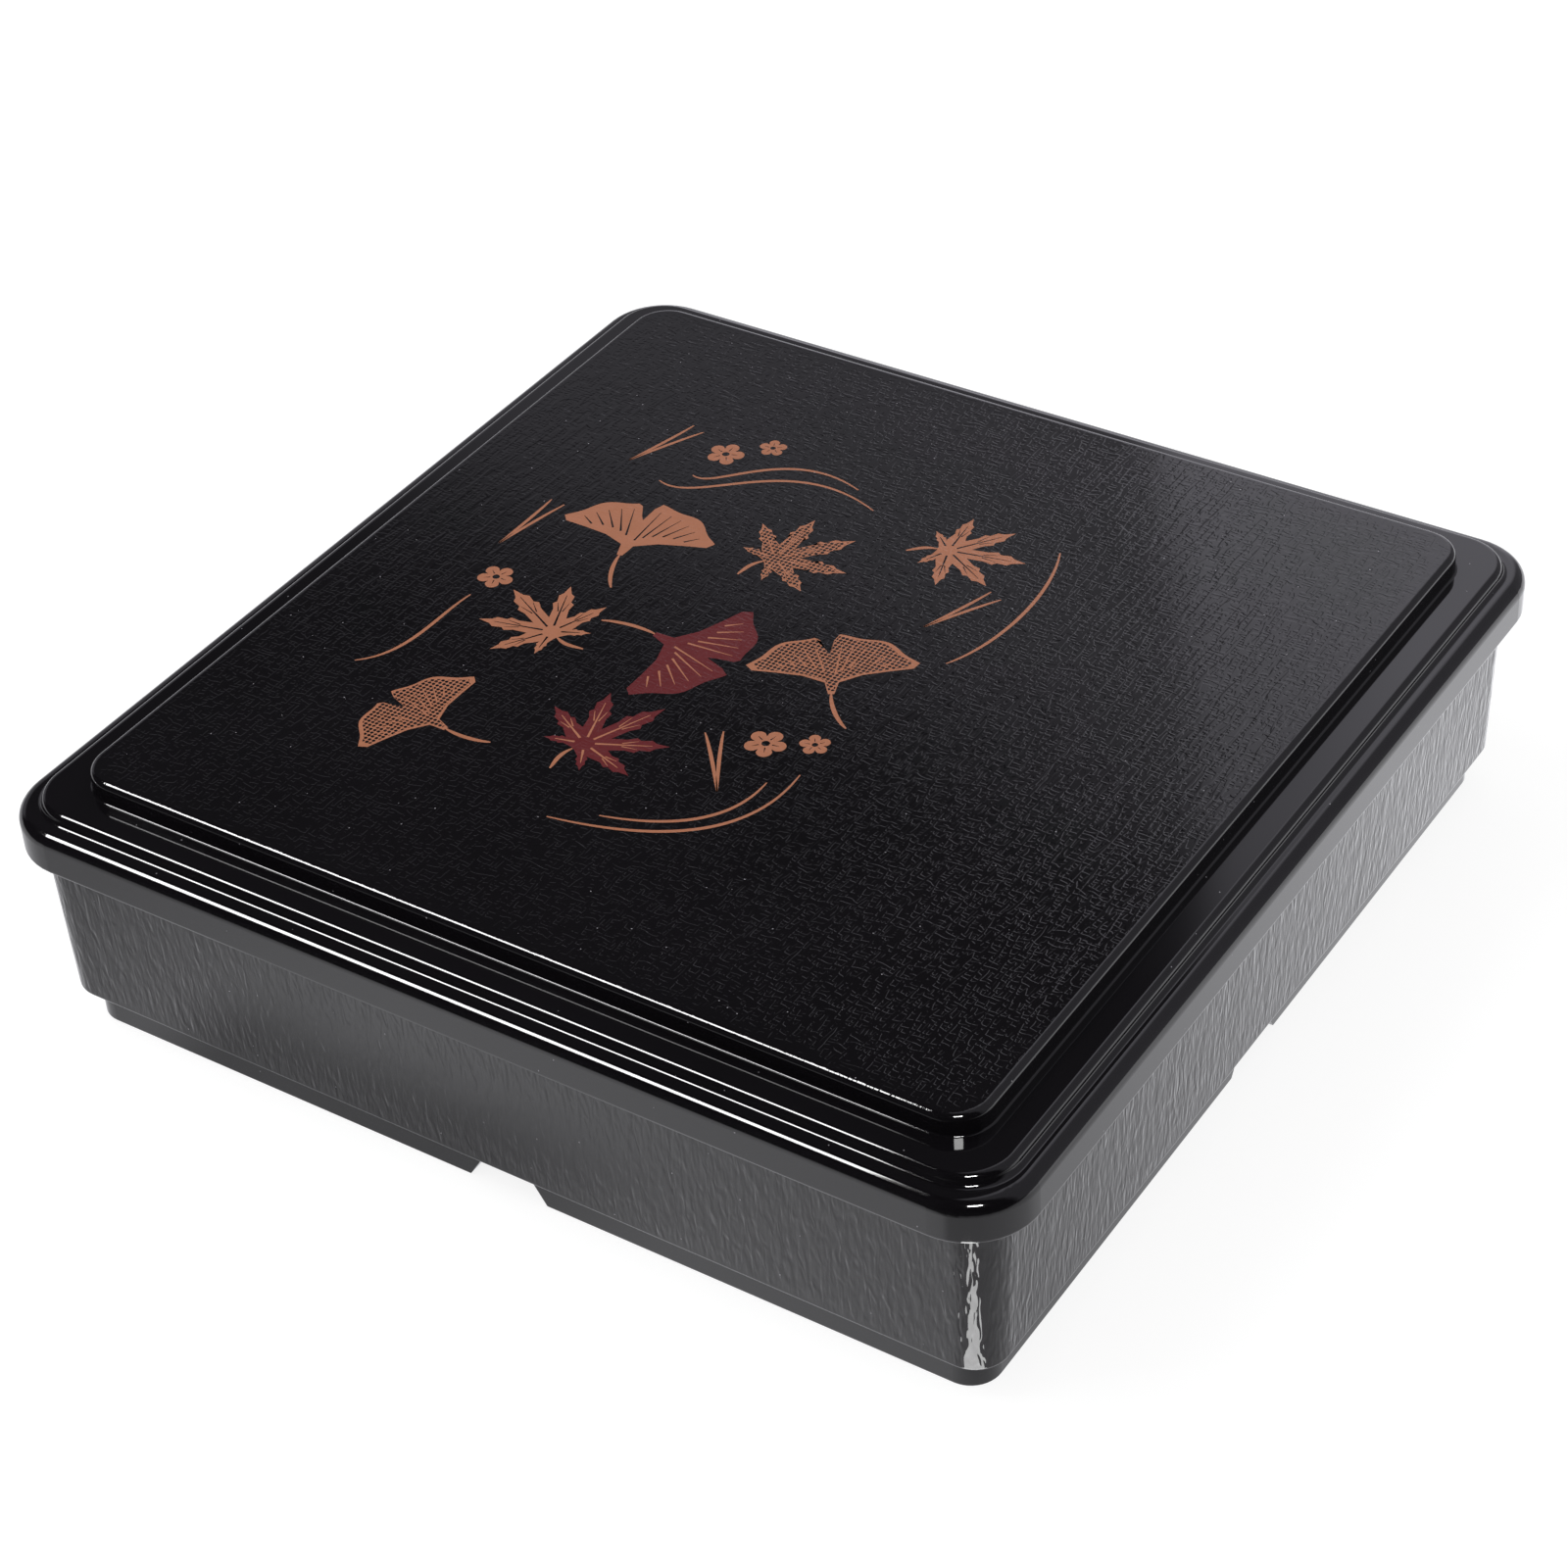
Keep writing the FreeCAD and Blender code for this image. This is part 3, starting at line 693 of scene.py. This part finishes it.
# %% Layout of the print
STALK_WIDTH = 1.1
NEEDLE_WIDTH = 0.9
WIND_WIDTH = 0.95
INNER_SHARE = 0.92
LEAVES = (
    ("maple", "copper", (-54, -20), -62, 19),
    ("maple", "red", (-22, -52), 24, 20),
    ("ginkgo", "red", (-32, -9), 100, 25),
    ("maple", "dotted", (-24, 31), 40, 19),
    ("ginkgo", "copper", (-58, 14), -10, 24),
    ("ginkgo", "dotted", (17, -9), -30, 24),
    ("maple", "copper", (11, 54), 78, 18),
    ("ginkgo", "dotted", (-53, -63), -78, 21),
)
BLOSSOMS = (
    ((14, -32), 10, 5),
    ((24, -27), 40, 3.7),
    ((-60, 64), 0, 4.8),
    ((-51, 72), 50, 3.6),
    ((-79, -8), 20, 4.6),
)
NEEDLES = (((14, -52), -35, 22), ((-80, 50), 20, 22), ((-87, 4), 6, 22), ((22, 24), 24, 21))
WIND = (
    ((-88, -52), (-78, -44), (-82, -28), (-80, -17)),
    ((-14, -78), (10, -74), (30, -64), (27, -38)),
    ((-4, -72), (12, -68), (23, -60), (22, -44)),
    ((-68, 46), (-54, 40), (-46, 74), (-14, 60)),
    ((-62, 52), (-54, 48), (-48, 76), (-22, 66)),
    ((34, 14), (41, 26), (42, 50), (35, 66)),
)
print(len(LEAVES), "leaves,", len(BLOSSOMS), "blossoms,", len(NEEDLES), "pairs of needles")

# %% Shapes of each ink
# Each shape is an outline with the list of its holes.
inks = {"copper": [], "dark_red": [], "dotted_copper": []}
for kind, ink, where, turn, size in LEAVES:
    outline = maple_leaf() if kind == "maple" else ginkgo_leaf()
    veins = MAPLE_VEINS if kind == "maple" else GINKGO_VEINS
    drawn = placed(outline, where, turn, size)
    gaps = [placed(vein, where, turn, size) for vein in veins]
    # The stalk starts where the leaf ends, because two films in one plane would cut each other.
    stalk_top = -0.158 if kind == "maple" else 0.0
    stalk = ((0, stalk_top), (0, stalk_top - 0.18), (0.06, -0.4), (0.16, -0.55))
    inks["copper"].append((ribbon(placed(stalk, where, turn, size), STALK_WIDTH), []))
    if ink == "copper":
        inks["copper"].append((drawn, gaps))
        continue
    if ink == "red":
        inks["copper"] += [(gap, []) for gap in gaps]
        inks["dark_red"].append((drawn, gaps))
        continue
    middle_height = 0.0 if kind == "maple" else 0.6
    shapes = [outline, *veins]
    # The rim is what is left round the same leaf made smaller about its middle.
    inner = [
        [(x * INNER_SHARE, (y - middle_height) * INNER_SHARE + middle_height) for x, y in shape]
        for shape in shapes
    ]
    rim, *gaps = [placed(shape, where, turn, size) for shape in inner]
    inks["copper"].append((drawn, [rim]))
    inks["copper"] += [(gap, []) for gap in gaps]
    inks["dotted_copper"].append((rim, gaps))
for where, turn, size in BLOSSOMS:
    heart = [polar(angle, 0.2) for angle in range(0, 360, 30)]
    stamens = [sliver(polar(angle, 0.32), polar(angle, 0.66), 0.07) for angle in range(0, 360, 72)]
    holes = [placed(hole, where, turn, size) for hole in (heart, *stamens)]
    inks["copper"].append((placed(blossom(), where, turn, size), holes))
for where, turn, size in NEEDLES:
    for lean in (-5.5, 5.5):
        tip = polar(lean, 1.0)
        needle = ((0, 0), (tip[0] * 0.2, tip[1] * 0.35), (tip[0] * 0.5, tip[1] * 0.7), tip)
        inks["copper"].append((ribbon(placed(needle, where, turn, size), NEEDLE_WIDTH), []))
for points in WIND:
    inks["copper"].append((ribbon(points, WIND_WIDTH), []))
print({ink: len(shapes) for ink, shapes in inks.items()})

# %% [markdown]
# Every shape becomes a flat filled curve. Overlapping curves in one object would cancel out, so each
# shape is its own curve, made a mesh, and all of one ink are joined. The ink stands 0.012 mm above
# the panel's top.

# %% Ink pieces
PANEL_TOP = 70.4
INK = 0.012
ink_pieces = {}
for ink, shapes in inks.items():
    bpy.ops.object.select_all(action="DESELECT")
    films = []
    for outline, holes in shapes:
        flat = bpy.data.curves.new("film", "CURVE")
        flat.dimensions = "2D"
        flat.fill_mode = "BOTH"
        # A curve is extruded both ways, so the lower half of the film lies in the panel.
        flat.extrude = INK * MM
        for loop in (outline, *holes):
            spline = flat.splines.new("POLY")
            spline.points.add(len(loop) - 1)
            for point, (x, y) in zip(spline.points, loop):
                point.co = (x * MM, y * MM, 0, 1)
            spline.use_cyclic_u = True
        film = bpy.data.objects.new("film", flat)
        film.location.z = PANEL_TOP * MM
        bpy.context.collection.objects.link(film)
        films.append(film)
    for film in films:
        film.select_set(True)
    bpy.context.view_layer.objects.active = films[0]
    bpy.ops.object.convert(target="MESH")
    bpy.ops.object.join()
    bpy.ops.object.transform_apply(location=True, rotation=True, scale=True)
    piece = bpy.context.object
    piece.name = "print_" + ink
    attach(piece, "lid")
    ink_pieces[ink] = piece
    print(piece.name, len(piece.data.polygons), "faces")

# %% [markdown]
# ## Inks
# Screen ink dries to a flat, slightly less glossy film than the coat, with the cloth grain showing
# through. The dotted ink is copper with small round dots left open, where the black shows through.

# %% Ink materials
COPPER_INK = ("#b3755a", "#a46b4e")
RED_INK = ("#682427", "#5f2023")
for ink, (light, deep) in {"copper": COPPER_INK, "dark_red": RED_INK, "dotted_copper": COPPER_INK}.items():
    material, tree = new_material("screen_ink_" + ink)
    place = add(tree, "TexCoord")
    in_mm = add(tree, "VectorMath", {0: place.outputs["Object"], "Scale": 1000.0}, operation="SCALE")
    cloud = add(tree, "TexNoise", {"Vector": in_mm.outputs[0], "Scale": 1 / 6, "Detail": 3.0})
    colour = add(tree, "Mix", {0: cloud.outputs[0], 6: linear(light), 7: linear(deep)}, data_type="RGBA")
    if ink == "dotted_copper":
        # Real dots are 0.5 mm apart. They are drawn 1.1 mm apart, so that the render can show them.
        dots = add(
            tree,
            "TexVoronoi",
            {"Vector": in_mm.outputs[0], "Scale": 1 / 1.1, "Randomness": 0.1},
            voronoi_dimensions="2D",
        )
        gap = add(
            tree,
            "MapRange",
            {
                "Value": dots.outputs["Distance"],
                "From Min": 0.36,
                "From Max": 0.44,
                "To Min": 1.0,
                "To Max": 0.0,
            },
        )
        colour = add(
            tree, "Mix", {0: gap.outputs[0], 6: colour.outputs[2], 7: linear(BLACK)}, data_type="RGBA"
        )
    relief = tree.nodes.new("ShaderNodeGroup")
    relief.node_tree = grain
    shader = add(
        tree,
        "BsdfPrincipled",
        {"Base Color": colour.outputs[2], "Roughness": 0.2, "IOR": 1.5, "Normal": relief.outputs["Normal"]},
    )
    add(tree, "OutputMaterial", {"Surface": shader.outputs[0]})
    ink_pieces[ink].data.materials.append(material)
    print(material.name, len(tree.nodes), "nodes")
